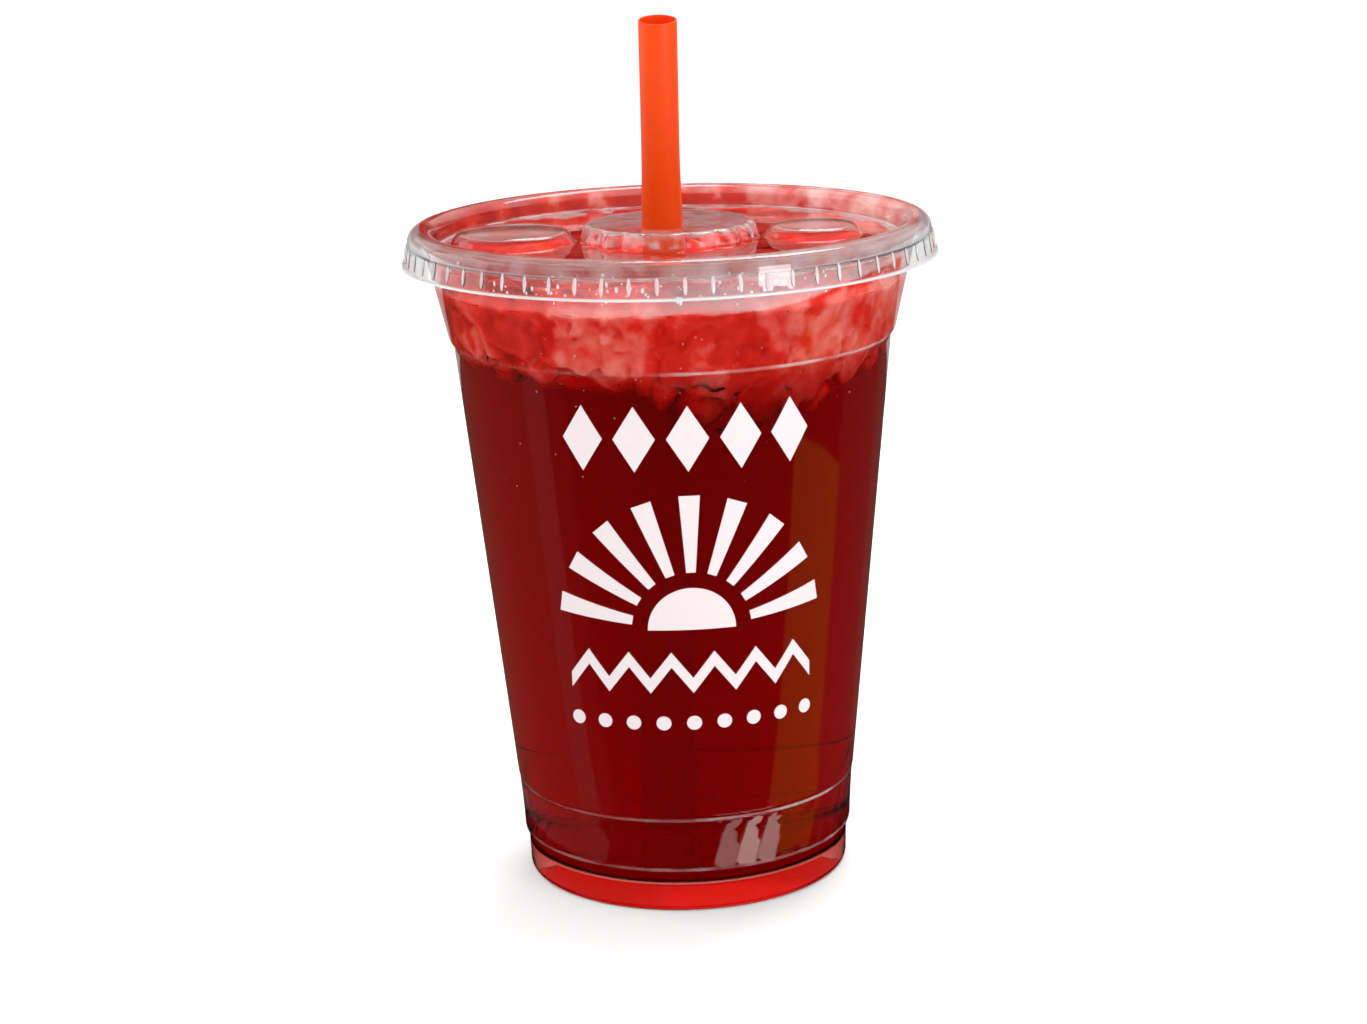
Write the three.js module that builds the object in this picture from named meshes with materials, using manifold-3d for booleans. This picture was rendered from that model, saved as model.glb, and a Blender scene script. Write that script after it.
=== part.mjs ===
// Iced pomegranate green tea in a clear PET cup, with a flat lid, a straw and crushed ice.
// Millimetres, +Z up. The origin is the centre of the cup's foot, on the surface it stands on.
// The front, which carries the print on the finished cup, faces -Y.
import * as THREE from 'three';
import * as BufferGeometryUtils from 'three/addons/utils/BufferGeometryUtils.js';
import Module from 'manifold-3d';

// Driving dimensions of the cup
const cupWall = 0.5;
const footRadius = 31.7;
const footHeight = 7.4;
const puntHeight = 5.0;
const bandBottomZ = 8.2;
const bandTopZ = 18.5;
const bodyBottomRadius = 33.25;
const bodyBottomZ = 19.5;
const bodyTopRadius = 41.9;
const bodyTopZ = 105.9;
const stepZ = 107.0;
const stepRadius = 42.75;
const collarTopZ = 123.2;
const collarTopRadius = 46.4;
const rimRadius = 49.0;
const rimZ = 127.4;
const fluteCount = 40;
const fluteDepth = 0.5;
const fluteTwist = THREE.MathUtils.degToRad(5.8);

// Driving dimensions of the lid
const lidWall = 0.4;
const lipRadius = 51.0;
const lipZ = 121.2;
const lipThickness = 0.5;
const creaseRadius = 49.75;
const creaseZ = 125.6;
const beadTopZ = 128.1;
const panelRadius = 43.9;
const panelZ = 124.2;
const ribCount = 64;
const ribSize = 0.42;
const ribHeight = 3.0;
const plateauRadius = 17.1;
const plateauTopRadius = 16.3;
const plateauZ = 127.8;
const plateauLobes = 16;
const plateauLobeDepth = 0.55;
const slotReach = 9.0;
const slotWidth = 0.8;
// Round raised buttons of the lid's panel: place along X, radius at the foot, height above the panel
const buttons = [
  { x: -29.9, radius: 12.0, height: 3.1 },
  { x: 27.4, radius: 9.4, height: 2.8 },
];

// Driving dimensions of the straw: it stands on the cup's floor and leans on the slot, towards the front
const strawRadius = 3.55;
const strawWall = 0.35;
const strawTop = new THREE.Vector3(-0.95, -14.75, 166.8);
const strawFoot = new THREE.Vector3(-2.39, 14.62, 6.6);

// The drink and the ice
const drinkLevel = 117.3;
const gap = 0.35;
const iceTopZ = 123.3;
const iceCoreRadius = 28;
const iceCoreBottomZ = 102;
const iceCoreTopZ = 115.5;
const iceSeed = 20;
// Rings of lumps: height of their middles, ring radius, how many, a lump's radius and the first one's turn
const iceRings = [
  { z: 115.8, ring: 33.0, count: 12, size: 8.4, phase: 0.2 },
  { z: 116.4, ring: 18.5, count: 6, size: 8.2, phase: 0.1 },
  { z: 105.8, ring: 31.0, count: 10, size: 8.0, phase: 0.5 },
  { z: 100.8, ring: 26.0, count: 4, size: 7.8, phase: 5.2 },
];
const wallClearance = 1.0;

const wasm = await Module();
wasm.setup();

// A closed three.js geometry as a solid that can be joined and cut
function toSolid(geometry) {
  const bare = geometry.clone();
  bare.deleteAttribute('normal');
  bare.deleteAttribute('uv');
  const merged = BufferGeometryUtils.mergeVertices(bare, 1e-4);
  return new wasm.Manifold(new wasm.Mesh({
    numProp: 3,
    vertProperties: new Float32Array(merged.attributes.position.array),
    triVerts: new Uint32Array(merged.index.array),
  }));
}

// A joined or cut solid as a three.js geometry
function toGeometry(solid) {
  const mesh = solid.getMesh();
  const geometry = new THREE.BufferGeometry();
  geometry.setAttribute('position', new THREE.BufferAttribute(new Float32Array(mesh.vertProperties), 3));
  geometry.setIndex(new THREE.BufferAttribute(new Uint32Array(mesh.triVerts), 1));
  geometry.computeVertexNormals();
  return geometry;
}

// The largest connected body of a solid, without loose scraps and with sealed hollows filled
function largestBody(solid) {
  const bodies = solid.decompose();
  return bodies.reduce((best, body) => (body.volume() > best.volume() ? body : best));
}

// A closed outline of [radius, height] pairs turned about the Z axis
function turned(outline, segments) {
  const points = outline.map(([radius, height]) => new THREE.Vector2(radius, height));
  if (outline[0][0] > 0) {
    points.push(points[0].clone());
  }
  const geometry = new THREE.LatheGeometry(points, segments);
  geometry.rotateX(Math.PI / 2);
  return geometry;
}

// Moves each vertex: change(point) edits it in place
function reshape(geometry, change) {
  const position = geometry.attributes.position;
  const point = new THREE.Vector3();
  for (let i = 0; i < position.count; i += 1) {
    point.fromBufferAttribute(position, i);
    change(point);
    position.setXYZ(i, point.x, point.y, point.z);
  }
  return geometry;
}

// Index of the lathe segment that a vertex lies on
function segmentOf(point, segments) {
  const turn = Math.atan2(point.y, point.x) / (2 * Math.PI);
  return Math.round(turn * segments + segments) % segments;
}

// Inner radius of the cup's plain cone between the fluted band and the step
function bodyInnerRadius(z) {
  const share = (z - bodyBottomZ) / (bodyTopZ - bodyBottomZ);
  return bodyBottomRadius + share * (bodyTopRadius - bodyBottomRadius) - cupWall;
}

// Thin-walled cup: punted base, upright foot, slanted flutes, cone, stacking step, collar, rolled rim
function makeCup() {
  const segments = 2 * fluteCount;
  const rollWidth = 2.7;
  const outline = [
    [0, puntHeight],
    [footRadius - 4.1, puntHeight],
    [footRadius - 2.8, 0],
    [footRadius - 1.2, 0],
    [footRadius - 0.3, 0.6],
    [footRadius, footHeight],
    [footRadius + 0.65, bandBottomZ],
    [bodyBottomRadius - 0.2, bandTopZ],
    [bodyBottomRadius - 0.4, bandTopZ + 0.45],
    [bodyBottomRadius, bodyBottomZ],
    [bodyTopRadius, bodyTopZ],
    [stepRadius, stepZ],
    [collarTopRadius, collarTopZ],
    [rimRadius - 0.3, rimZ - 2.8],
    [rimRadius, rimZ - 1.0],
    [rimRadius - 0.9, rimZ],
    [rimRadius - rollWidth + 0.1, rimZ - 1.4],
    [collarTopRadius - cupWall, collarTopZ],
    [stepRadius - cupWall, stepZ + 0.2],
    [bodyTopRadius - cupWall, bodyTopZ + 0.1],
    [bodyBottomRadius - cupWall, bodyBottomZ],
    [bodyBottomRadius - 0.3 - cupWall, bandTopZ],
    [footRadius + 0.1, bandBottomZ + 0.1],
    [footRadius - cupWall, footHeight + 0.1],
    [footRadius - cupWall - 0.1, 0.9],
    [footRadius - 2.6, 0.5],
    [footRadius - 3.8, puntHeight + cupWall],
    [0, puntHeight + cupWall],
  ];
  return reshape(turned(outline, segments), (point) => {
    const radius = Math.hypot(point.x, point.y);
    const share = THREE.MathUtils.clamp((point.z - bandBottomZ) / (bandTopZ - bandBottomZ), 0, 1);
    const inBand = radius > 5 && point.z > bandBottomZ - 0.05 && point.z < bandTopZ + 0.05;
    const valley = inBand && segmentOf(point, segments) % 2 === 1 ? fluteDepth : 0;
    const turn = Math.atan2(point.y, point.x) + share * fluteTwist;
    point.x = (radius - valley) * Math.cos(turn);
    point.y = (radius - valley) * Math.sin(turn);
  });
}

// Thin sheet of the lid: lip, skirt, bead over the cup's rim, recess wall and panel
function makeLidSheet() {
  const beadRadius = creaseRadius - 2.4;
  const outline = [
    [0, panelZ - lidWall],
    [panelRadius + 0.6, panelZ - lidWall],
    [beadRadius - 2.1, beadTopZ - 1.5],
    [beadRadius - 0.9, beadTopZ - lidWall],
    [beadRadius + 0.95, beadTopZ - lidWall],
    [creaseRadius - lidWall, beadTopZ - 1.5],
    [creaseRadius - lidWall - 0.05, creaseZ - 0.1],
    [lipRadius - 1.0, lipZ + lipThickness],
    [lipRadius - 0.9, lipZ],
    [lipRadius, lipZ],
    [lipRadius, lipZ + lipThickness],
    [lipRadius - 0.6, lipZ + lipThickness + 0.1],
    [creaseRadius - 0.15, creaseZ],
    [creaseRadius, beadTopZ - 1.2],
    [beadRadius + 1.2, beadTopZ],
    [beadRadius - 1.1, beadTopZ],
    [beadRadius - 2.5, beadTopZ - 1.3],
    [panelRadius + 0.6, panelZ + 0.6],
    [panelRadius, panelZ],
    [0, panelZ],
  ];
  return toSolid(turned(outline, ribCount));
}

// One upright rib standing proud of the skirt
function makeRib(index) {
  const slope = Math.atan2(lipRadius - 0.45 - creaseRadius, creaseZ - lipZ - lipThickness);
  const rib = new THREE.CylinderGeometry(ribSize, ribSize, ribHeight, 3);
  rib.rotateY(Math.PI / 2);
  rib.rotateX(Math.PI / 2);
  rib.rotateY(-slope);
  rib.translate((lipRadius - 0.75 + creaseRadius) / 2, 0, (lipZ + lipThickness + creaseZ) / 2);
  rib.rotateZ((index + 0.5) * 2 * Math.PI / ribCount);
  return toSolid(rib);
}

// Round block with a scalloped side, from below the panel to the plateau's top
function makePlateau(inset) {
  const segments = 2 * plateauLobes;
  const foot = panelZ - lidWall - (inset > 0 ? 1 : -0.1);
  const outline = [
    [0, foot],
    [plateauRadius - inset, foot],
    [plateauTopRadius - inset, plateauZ - 0.4 - inset],
    [plateauTopRadius - 0.4 - inset, plateauZ - inset],
    [0, plateauZ - inset],
  ];
  return toSolid(reshape(turned(outline, segments), (point) => {
    const radius = Math.hypot(point.x, point.y);
    if (radius > 1 && segmentOf(point, segments) % 2 === 1) {
      point.multiply(new THREE.Vector3(1 - plateauLobeDepth / radius, 1 - plateauLobeDepth / radius, 1));
    }
  }));
}

// Domed round block for a raised button of the panel
function makeButton({ x, radius, height }, inset) {
  const foot = panelZ - lidWall - (inset > 0 ? 1 : -0.1);
  const outline = [
    [0, foot],
    [radius - inset, foot],
    [radius - 1.3 - inset, panelZ + height - 0.6 - inset],
    [0, panelZ + height - inset],
  ];
  return toSolid(turned(outline, 24).translate(x, 0, 0));
}

// A round bar along the straw's axis, past both of its ends by the given length
function makeStrawBar(radius, sides, past) {
  const axis = strawTop.clone().sub(strawFoot);
  const bar = new THREE.CylinderGeometry(radius, radius, axis.length() + 2 * past, sides);
  bar.rotateX(Math.PI / 2);
  return toSolid(placeOnStraw(bar));
}

// Moves a geometry made about the Z axis, centred on the origin, on to the straw's axis
function placeOnStraw(geometry) {
  const axis = strawTop.clone().sub(strawFoot).normalize();
  geometry.applyQuaternion(new THREE.Quaternion().setFromUnitVectors(new THREE.Vector3(0, 0, 1), axis));
  const middle = strawTop.clone().add(strawFoot).multiplyScalar(0.5);
  return geometry.translate(middle.x, middle.y, middle.z);
}

function makeLid() {
  let lid = makeLidSheet();
  for (let i = 0; i < ribCount; i += 1) {
    lid = lid.add(makeRib(i));
  }
  lid = lid.add(makePlateau(0)).subtract(makePlateau(lidWall));
  for (const button of buttons) {
    lid = lid.add(makeButton(button, 0)).subtract(makeButton(button, lidWall));
  }
  for (const turn of [0, Math.PI / 2]) {
    const cut = new THREE.BoxGeometry(2 * slotReach, slotWidth, 4);
    cut.rotateZ(turn);
    cut.translate(0, 0, plateauZ);
    lid = lid.subtract(toSolid(cut));
  }
  return toGeometry(largestBody(lid.subtract(makeStrawBar(strawRadius + gap, 20, 5))));
}

// Open tube
function makeStraw() {
  const half = strawTop.distanceTo(strawFoot) / 2;
  const outline = [
    [strawRadius - strawWall, -half],
    [strawRadius, -half],
    [strawRadius, half],
    [strawRadius - strawWall, half],
  ];
  return placeOnStraw(turned(outline, 20));
}

// Repeatable random numbers from 0 to 1
function randomSource(seed) {
  let state = seed;
  return () => {
    state = (state * 1664525 + 1013904223) % 4294967296;
    return state / 4294967296;
  };
}

// The lumps of ice, uneven in size, shape and place. Grown lumps make the hollow in the drink.
function iceLumps(grow) {
  const random = randomSource(iceSeed);
  const spread = (amount) => 1 + amount * (2 * random() - 1);
  const lumps = [];
  for (const { z, ring, count, size, phase } of iceRings) {
    for (let i = 0; i < count; i += 1) {
      const radius = size * spread(0.14);
      const lump = BufferGeometryUtils.mergeVertices(bareIcosahedron(), 1e-4);
      reshape(lump, (point) => point.multiplyScalar(radius * spread(0.13) + grow));
      lump.scale(spread(0.08), spread(0.08), spread(0.1));
      lump.rotateX(random() * Math.PI);
      lump.rotateZ(random() * Math.PI);
      const turn = phase + (i + 0.35 * (random() - 0.5)) * 2 * Math.PI / count;
      const height = z + 2.4 * (random() - 0.5);
      fitInside(lump, ring, bodyInnerRadius(Math.min(height, bodyTopZ)) - wallClearance, grow);
      lump.translate(ring * Math.cos(turn), ring * Math.sin(turn), height);
      lump.computeBoundingBox();
      lump.translate(0, 0, Math.min(0, iceTopZ + grow - lump.boundingBox.max.z));
      lumps.push(lump);
    }
  }
  return lumps;
}

function bareIcosahedron() {
  const shape = new THREE.IcosahedronGeometry(1, 0);
  shape.deleteAttribute('normal');
  shape.deleteAttribute('uv');
  return shape;
}

// Draws a lump in until it clears the cup's wall when its middle is on the ring
function fitInside(lump, ring, room, grow) {
  lump.computeBoundingSphere();
  const reach = lump.boundingSphere.radius - grow;
  const share = Math.min(1, (room - ring) / reach);
  lump.scale(share, share, 1);
}

// Heap of ice: a core with the lumps fused on. With grow it is the hollow that the heap needs.
function makeIceHeap(grow) {
  const core = new THREE.CylinderGeometry(
    iceCoreRadius + grow, iceCoreRadius + grow, iceCoreTopZ - iceCoreBottomZ + 2 * grow, 20);
  core.rotateX(Math.PI / 2);
  core.translate(0, 0, (iceCoreTopZ + iceCoreBottomZ) / 2);
  let heap = toSolid(core);
  for (const lump of iceLumps(grow)) {
    heap = heap.add(toSolid(lump));
  }
  return largestBody(heap.subtract(makeStrawBar(strawRadius + gap - grow, 16, 5)));
}

// The drink fills the cup up to its level, round the straw and the ice
function makeDrink() {
  const levelRadius = collarTopRadius - cupWall - gap
    - (collarTopZ - drinkLevel) * (collarTopRadius - stepRadius) / (collarTopZ - stepZ);
  const outline = [
    [0, puntHeight + cupWall + gap],
    [footRadius - 3.4, puntHeight + cupWall + gap],
    [footRadius - 2.2, 0.6 + gap],
    [footRadius - cupWall - gap - 0.2, 1.1 + gap],
    [footRadius - cupWall - gap, footHeight + 0.3],
    [footRadius + 0.1 - fluteDepth - gap, bandBottomZ + 0.4],
    [bodyBottomRadius - 0.3 - cupWall - fluteDepth - gap, bandTopZ],
    [bodyBottomRadius - cupWall - gap, bodyBottomZ + 0.4],
    [bodyTopRadius - cupWall - gap, bodyTopZ + 0.2],
    [stepRadius - cupWall - gap, stepZ + 0.4],
    [levelRadius, drinkLevel],
    [0, drinkLevel],
  ];
  const body = toSolid(turned(outline, 36));
  return toGeometry(largestBody(body
    .subtract(makeIceHeap(gap))
    .subtract(makeStrawBar(strawRadius + gap, 16, 5))));
}

const materials = {
  pet: { color: 0xe9eef2, roughness: 0.05, metalness: 0, transparent: true, opacity: 0.35 },
  straw: { color: 0xff4d0a, roughness: 0.35, metalness: 0 },
  drink: { color: 0x7a0508, roughness: 0.05, metalness: 0 },
  ice: { color: 0xe2867e, roughness: 0.25, metalness: 0 },
};

const group = new THREE.Group();

function addNode(name, geometry, finish) {
  const mesh = new THREE.Mesh(geometry, new THREE.MeshStandardMaterial(materials[finish]));
  mesh.name = name;
  group.add(mesh);
}

addNode('cup', makeCup(), 'pet');
addNode('lid', makeLid(), 'pet');
addNode('straw', makeStraw(), 'straw');
addNode('drink', makeDrink(), 'drink');
addNode('ice', toGeometry(makeIceHeap(0)), 'ice');

export default group;
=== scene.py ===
# Iced pomegranate green tea in a clear plastic cup, with a flat lid, an orange straw and crushed ice.
import math
import random
import bmesh
import bpy
from mathutils import Matrix, Vector, noise


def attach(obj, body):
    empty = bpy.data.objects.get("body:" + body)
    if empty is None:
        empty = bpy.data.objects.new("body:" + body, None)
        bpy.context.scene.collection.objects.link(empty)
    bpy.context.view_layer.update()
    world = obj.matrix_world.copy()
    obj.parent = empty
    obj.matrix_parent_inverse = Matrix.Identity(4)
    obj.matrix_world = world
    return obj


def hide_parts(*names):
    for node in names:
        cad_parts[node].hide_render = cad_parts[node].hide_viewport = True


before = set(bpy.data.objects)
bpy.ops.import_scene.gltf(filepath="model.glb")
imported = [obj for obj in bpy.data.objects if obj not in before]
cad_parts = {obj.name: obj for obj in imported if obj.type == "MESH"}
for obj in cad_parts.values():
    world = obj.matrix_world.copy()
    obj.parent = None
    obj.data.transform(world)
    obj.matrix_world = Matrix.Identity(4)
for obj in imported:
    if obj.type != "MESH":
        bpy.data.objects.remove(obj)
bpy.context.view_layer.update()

mm = 0.001
print("frame loaded, CAD nodes:", sorted(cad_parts))

# Camera: place in mm, angles in degrees, focal length in mm on a 36 mm sensor
cameraValues = {"place": (0, -550, 211.4), "down": 14.37, "turn": 0.11, "roll": -1.77, "focal": 76.7}


def makeCamera(values):
    camera = bpy.data.objects.new("camera", bpy.data.cameras.new("camera"))
    camera.data.sensor_width = 36
    camera.data.lens = values["focal"]
    camera.data.clip_start = 0.01
    turn = Matrix.Rotation(math.radians(-values["turn"]), 4, "Z")
    tilt = Matrix.Rotation(math.radians(90 - values["down"]), 4, "X")
    roll = Matrix.Rotation(math.radians(values["roll"]), 4, "Z")
    camera.matrix_world = Matrix.Translation(Vector(values["place"]) * mm) @ turn @ tilt @ roll
    bpy.context.scene.collection.objects.link(camera)
    bpy.context.scene.camera = camera


makeCamera(cameraValues)

# Picture: plain colours, and enough bounces for light to cross lid, cup, drink and ice
picture = bpy.context.scene
picture.view_settings.view_transform = "Standard"
picture.cycles.max_bounces = 20
picture.cycles.transmission_bounces = 20
picture.cycles.glossy_bounces = 8
picture.cycles.diffuse_bounces = 3
picture.cycles.sample_clamp_indirect = 4
print("camera set")


def linearColour(hexText):
    channels = [int(hexText[i:i + 2], 16) / 255 for i in (1, 3, 5)]
    return tuple(c / 12.92 if c <= 0.04045 else ((c + 0.055) / 1.055) ** 2.4 for c in channels) + (1,)


def addNode(tree, kind, values=None, links=None):
    node = tree.nodes.new(kind)
    for key, value in (values or {}).items():
        if isinstance(key, str) and hasattr(node, key):
            setattr(node, key, value)
        else:
            node.inputs[key].default_value = value
    for key, source in (links or {}).items():
        tree.links.new(source, node.inputs[key])
    return node


def newMaterial(name):
    material = bpy.data.materials.new(name)
    material.use_nodes = True
    material.node_tree.nodes.clear()
    return material, material.node_tree


def finishMaterial(tree, surface, volume=None):
    links = {"Surface": surface}
    if volume:
        links["Volume"] = volume
    addNode(tree, "ShaderNodeOutputMaterial", {}, links)


def newPiece(name, bm, material, sharpAngle=50):
    mesh = bpy.data.meshes.new(name)
    bm.to_mesh(mesh)
    bm.free()
    mesh.shade_smooth()
    mesh.set_sharp_from_angle(angle=math.radians(sharpAngle))
    piece = bpy.data.objects.new(name, mesh)
    bpy.context.scene.collection.objects.link(piece)
    mesh.materials.append(material)
    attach(piece, "root")
    print("made", name, len(mesh.vertices), "vertices,", len(mesh.polygons), "faces")
    return piece


# An outline in the XZ plane: corners are radius, height and rounding, in mm
def drawOutline(bm, corners, arcSteps=4):
    verts = [bm.verts.new((radius * mm, 0, height * mm)) for radius, height, rounding in corners]
    for first, second in zip(verts, verts[1:]):
        bm.edges.new((first, second))
    for vert, (radius, height, rounding) in zip(verts, corners):
        if rounding:
            bmesh.ops.bevel(bm, geom=[vert], offset=rounding * mm, offset_type="OFFSET", affect="VERTICES",
                            segments=arcSteps, profile=0.5, material=-1)


def spinOutline(bm, corners, steps, arcSteps=4, centre=(0, 0)):
    sketch = bmesh.new()
    drawOutline(sketch, corners, arcSteps)
    bmesh.ops.spin(sketch, geom=sketch.verts[:] + sketch.edges[:], cent=(0, 0, 0), axis=(0, 0, 1),
                   dvec=(0, 0, 0), angle=2 * math.pi, steps=steps, use_merge=True,
                   use_normal_flip=False, use_duplicate=False)
    bmesh.ops.remove_doubles(sketch, verts=sketch.verts[:], dist=1e-6)
    bmesh.ops.translate(sketch, verts=sketch.verts[:], vec=(centre[0] * mm, centre[1] * mm, 0))
    addTo(bm, sketch)


# Moves everything in one bmesh to another
def addTo(bm, sketch):
    mesh = bpy.data.meshes.new("sketch")
    sketch.to_mesh(mesh)
    sketch.free()
    bm.from_mesh(mesh)
    bpy.data.meshes.remove(mesh)


# Turns an open sheet so that its lowest faces look down
def faceOutwards(bm):
    bmesh.ops.recalc_face_normals(bm, faces=bm.faces[:])
    lowest = min(bm.faces, key=lambda face: face.calc_center_median().z)
    if lowest.normal.z > 0:
        bmesh.ops.reverse_faces(bm, faces=bm.faces[:])


# Cup: sizes in mm, twist in degrees
cupValues = {
    "wall": 0.5, "steps": 336,
    "flutes": 48, "fluteDepth": 0.08, "fluteTwist": 5.8, "bandBottom": 8.2, "bandTop": 18.5, "fluteFade": 0.9,
    "outline": [
        (0, 5.0, 0), (27.5, 5.0, 0.9), (28.9, 0, 0.5), (31.45, 0, 1.1), (31.68, 7.1, 0.7), (32.42, 8.4, 0.6),
        (32.52, 11.2, 0), (32.72, 14.6, 0), (33.05, 18.5, 0.2), (32.93, 18.95, 0.15), (33.25, 19.5, 0.3),
        (41.9, 105.9, 0.6), (42.75, 107.0, 0.5), (46.4, 123.2, 1.0), (46.6, 124.6, 0.5), (46.7, 127.2, 0.9),
        (48.9, 127.2, 1.0), (48.9, 124.9, 0.9), (47.6, 124.8, 0),
    ],
}


def fluteSheet(bm, values):
    twist = math.radians(values["fluteTwist"])
    for vert in bm.verts:
        radius = vert.co.xy.length / mm
        height = vert.co.z / mm
        angle = math.atan2(vert.co.y, vert.co.x)
        inside = min(height - values["bandBottom"], values["bandTop"] - height)
        share = min(max((height - values["bandBottom"]) / (values["bandTop"] - values["bandBottom"]), 0), 1)
        if inside > 0 and radius > 30:
            flute = angle * values["flutes"] / (2 * math.pi) % 1
            radius -= values["fluteDepth"] * math.sin(math.pi * flute) * min(inside / values["fluteFade"], 1)
        angle += share * twist
        vert.co = (radius * mm * math.cos(angle), radius * mm * math.sin(angle), vert.co.z)


# Outer face of the cup, from the middle of its base to the end of its rolled rim
def makeCupSheet(values):
    bm = bmesh.new()
    spinOutline(bm, values["outline"], values["steps"], arcSteps=5)
    band = [edge for edge in bm.edges
            if abs(edge.verts[0].co.z - edge.verts[1].co.z) > 2 * mm
            and max(vert.co.z for vert in edge.verts) < (values["bandTop"] + 0.1) * mm
            and min(vert.co.z for vert in edge.verts) > (values["bandBottom"] - 0.1) * mm]
    bmesh.ops.subdivide_edges(bm, edges=band, cuts=3, use_grid_fill=True)
    fluteSheet(bm, values)
    faceOutwards(bm)
    return bm


def makeCup(values, material):
    bm = makeCupSheet(values)
    bmesh.ops.solidify(bm, geom=bm.faces[:], thickness=values["wall"] * mm)
    bmesh.ops.recalc_face_normals(bm, faces=bm.faces[:])
    piece = newPiece("clearCup", bm, material, sharpAngle=40)
    markRidges(piece, values)
    return piece


# The flutes are flat, with sharp ridges between them
def markRidges(piece, values):
    bm = bmesh.new()
    bm.from_mesh(piece.data)
    for edge in bm.edges:
        heights = [vert.co.z / mm for vert in edge.verts]
        upright = abs(heights[0] - heights[1]) > 0.8 * edge.calc_length() / mm
        inBand = min(heights) > values["bandBottom"] - 0.2 and max(heights) < values["bandTop"] + 0.2
        if upright and inBand and len(edge.link_faces) == 2 and edge.calc_face_angle() > math.radians(3.5):
            edge.smooth = False
    bm.to_mesh(piece.data)
    bm.free()


# Drink: its level and the height that it climbs at the wall, in mm
drinkValues = {"level": 117.3, "climb": 0.12, "climbWidth": 1.0, "ragged": 0.6, "intoWall": 0.25}


def makeDrink(values, cup, icePocket, material):
    bm = makeCupSheet(cup)
    top = (values["level"] + values["climb"]) * mm
    bmesh.ops.bisect_plane(bm, geom=bm.verts[:] + bm.edges[:] + bm.faces[:], dist=1e-7,
                           plane_co=(0, 0, top), plane_no=(0, 0, 1), clear_outer=True)
    bm.normal_update()
    moves = [(vert, vert.normal * -values["intoWall"] * mm) for vert in bm.verts]
    for vert, move in moves:
        vert.co += move
    rim = [edge for edge in bm.edges if edge.is_boundary]
    steps = 5
    for step in range(1, steps + 1):
        grown = bmesh.ops.extrude_edge_only(bm, edges=rim)["geom"]
        rim = [item for item in grown if isinstance(item, bmesh.types.BMEdge)]
        ring = [item for item in grown if isinstance(item, bmesh.types.BMVert)]
        height = values["climb"] * (1 - step / steps) ** 2
        for vert in ring:
            radius = vert.co.xy.length
            vert.co.xy *= (radius - values["climbWidth"] * mm / steps) / radius
            vert.co.z = (values["level"] + height) * mm
    for vert in bm.verts:
        reach = (vert.co.z / mm - values["level"]) / values["climb"]
        if reach > 0.1:
            vert.co.z += values["ragged"] * reach * noise.noise(vert.co / (7 * mm)) * mm
    bmesh.ops.edgeloop_fill(bm, edges=rim)
    bmesh.ops.recalc_face_normals(bm, faces=bm.faces[:])
    piece = newPiece("redTea", bm, material, sharpAngle=60)
    cutPiece(piece, "DIFFERENCE", icePocket)
    return piece


# Clear PET, thermoformed: glassy and smooth, with faint waves from the mould that make its reflections swim.
# It is whiter along sharp creases and ribs, partly where forming has stretched it and partly as painted highlight: the
# creases are painted whiter towards the right, where the light falls, and the ribs are painted white for the lines of
# light they catch. It is also whiter where water has condensed above the drink, most of it on the right. Creases are
# height and half width in mm, whiteness and its share on the left.
petLook = {
    "cup": {"waveSize": 14.0, "waves": 0.05, "mistFrom": 117.6, "mistTo": 123.0, "mist": 0.16, "mistEdge": 2.2,
            "mistSide": (-25, 12), "mistRise": (16, 44, 5.0),
            "creases": [(8.7, 0.3, 0.12, 0.5), (18.9, 0.3, 0.2, 0.2), (106.6, 0.35, 0.22, 0.1)]},
    "lid": {"waveSize": 17.0, "waves": 0.2, "creases": [(127.4, 0.9, 0.08, 0.8)],
            "frost": {"radius": 17.7, "from": 124.9, "to": 127.6, "white": 0.16},
            "skirt": {"radius": 49.75, "height": 125.6, "slope": 0.1558, "proud": 0.14, "white": 0.4}},
}


def addHaze(tree, haze, extra):
    if haze is None:
        return extra
    return addNode(tree, "ShaderNodeMath", {"operation": "MAXIMUM"}, {0: haze, 1: extra}).outputs[0]


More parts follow.
